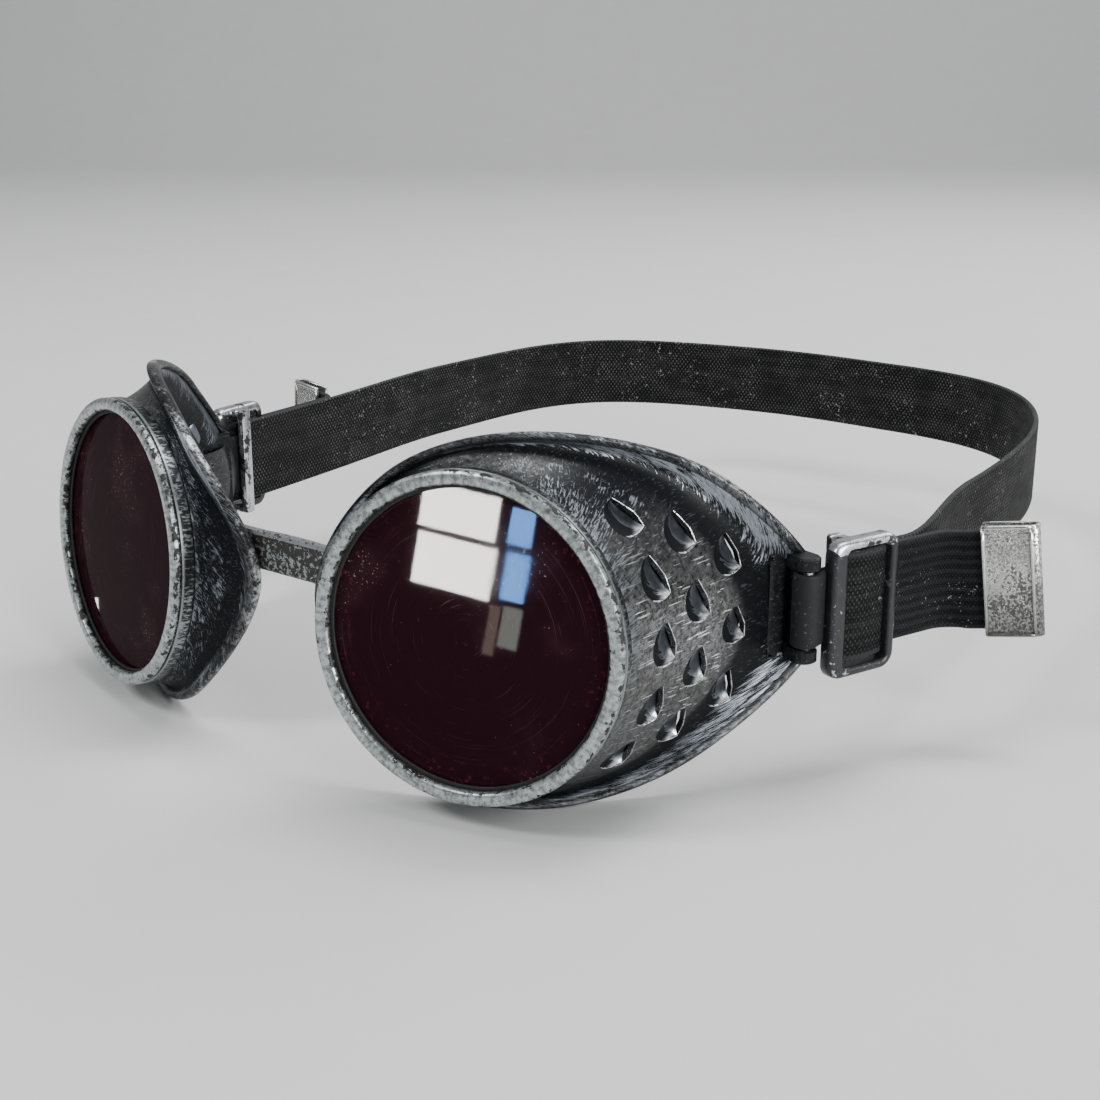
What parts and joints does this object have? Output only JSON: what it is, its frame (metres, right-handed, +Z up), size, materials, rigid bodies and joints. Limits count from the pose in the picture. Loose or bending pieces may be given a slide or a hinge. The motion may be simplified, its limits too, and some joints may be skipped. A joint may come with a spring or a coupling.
{
  "type": "welding goggles",
  "caption": "Vintage welding goggles: round dark lenses in screwed silver rings, flared black metal cups with louvred side vents, a riveted bridge and a webbing head strap with sliders.",
  "frame": {"origin": "middle of the bridge's front face", "axes": "+Y from the bridge back to the wearer's head, +X to the wearer's left, +Z up"},
  "size_m": [0.2096, 0.2288, 0.0655],
  "materials": {
    "ring_silver": "worn silver paint with dark chips",
    "cup_paint": "black paint dry-brushed with silver, worn at the edges",
    "bridge_paint": "flaking dark paint",
    "bare_steel": "dull",
    "cover_glass": "clear, scratched",
    "dark_glass": "dark burgundy welding filter",
    "black_rubber": "matte",
    "black_sheet": "matte black",
    "slider_steel": "bluish grey, worn bright at the edges",
    "webbing": "woven, dark grey",
    "smooth_band": "smooth tight-woven tape",
    "clip_silver": "pitted silver"
  },
  "bodies": {
    "frame": {"left_eye_cup": "cup_paint", "left_rear_gasket": "black_rubber", "left_vent_baffle": "black_sheet", "left_strap_pin": "bare_steel", "left_strap_loop": "smooth_band", "left_strap_return": "webbing", "left_bridge_rivet": "bare_steel", "right_eye_cup": "cup_paint", "right_rear_gasket": "black_rubber", "right_vent_baffle": "black_sheet", "right_strap_pin": "bare_steel", "right_strap_loop": "smooth_band", "right_strap_return": "webbing", "right_bridge_rivet": "bare_steel", "bridge": "bridge_paint", "head_strap": "webbing"},
    "left_lens_pack": {"left_front_gasket": "black_rubber", "left_cover_lens": "cover_glass", "left_filter_lens": "dark_glass"},
    "left_ring": {"left_lens_ring": "ring_silver"},
    "left_slider_body": {"left_slider": "slider_steel"},
    "left_tail": {"left_strap_tail": "webbing", "left_tail_clip": "clip_silver"},
    "right_lens_pack": {"right_front_gasket": "black_rubber", "right_cover_lens": "cover_glass", "right_filter_lens": "dark_glass"},
    "right_ring": {"right_lens_ring": "ring_silver"},
    "right_slider_body": {"right_slider": "slider_steel"},
    "right_tail": {"right_strap_tail": "webbing", "right_tail_clip": "clip_silver"}
  },
  "joints": [
    {"name": "left_lens_travel", "type": "slide", "parent": "frame", "child": "left_lens_pack", "axis": [0.2463, -0.9664, 0.0741], "range_m": [0, 0.0023]},
    {"name": "left_ring_turn", "type": "hinge", "parent": "left_lens_pack", "child": "left_ring", "pos_m": [0.0452, -0.0055, -0.004], "axis": [0.2463, -0.9664, 0.0741], "range_deg": [0, 540]},
    {"name": "left_slider_slide", "type": "slide", "parent": "frame", "child": "left_slider_body", "axis": [0.3024, 0.9532, 0], "range_m": [0, 0.0045]},
    {"name": "left_tail_bend", "type": "hinge", "parent": "frame", "child": "left_tail", "pos_m": [0.08654, 0.06918, -0.0052], "axis": [0, 0, -1], "range_deg": [0, 30]},
    {"name": "right_lens_travel", "type": "slide", "parent": "frame", "child": "right_lens_pack", "axis": [-0.2463, -0.9664, 0.0741], "range_m": [0, 0.0023]},
    {"name": "right_ring_turn", "type": "hinge", "parent": "right_lens_pack", "child": "right_ring", "pos_m": [-0.0452, -0.0055, -0.004], "axis": [-0.2463, -0.9664, 0.0741], "range_deg": [0, 540]},
    {"name": "right_slider_slide", "type": "slide", "parent": "frame", "child": "right_slider_body", "axis": [-0.1392, 0.9903, 0], "range_m": [0, 0.0045]},
    {"name": "right_tail_bend", "type": "hinge", "parent": "frame", "child": "right_tail", "pos_m": [-0.08285, 0.07169, -0.0052], "axis": [0, 0, 1], "range_deg": [0, 30]}
  ],
  "couplings": [
    {"joint": "left_lens_travel", "follows": "left_ring_turn", "m_per_rad": 0.00023873},
    {"joint": "right_lens_travel", "follows": "right_ring_turn", "m_per_rad": 0.00023873}
  ]
}
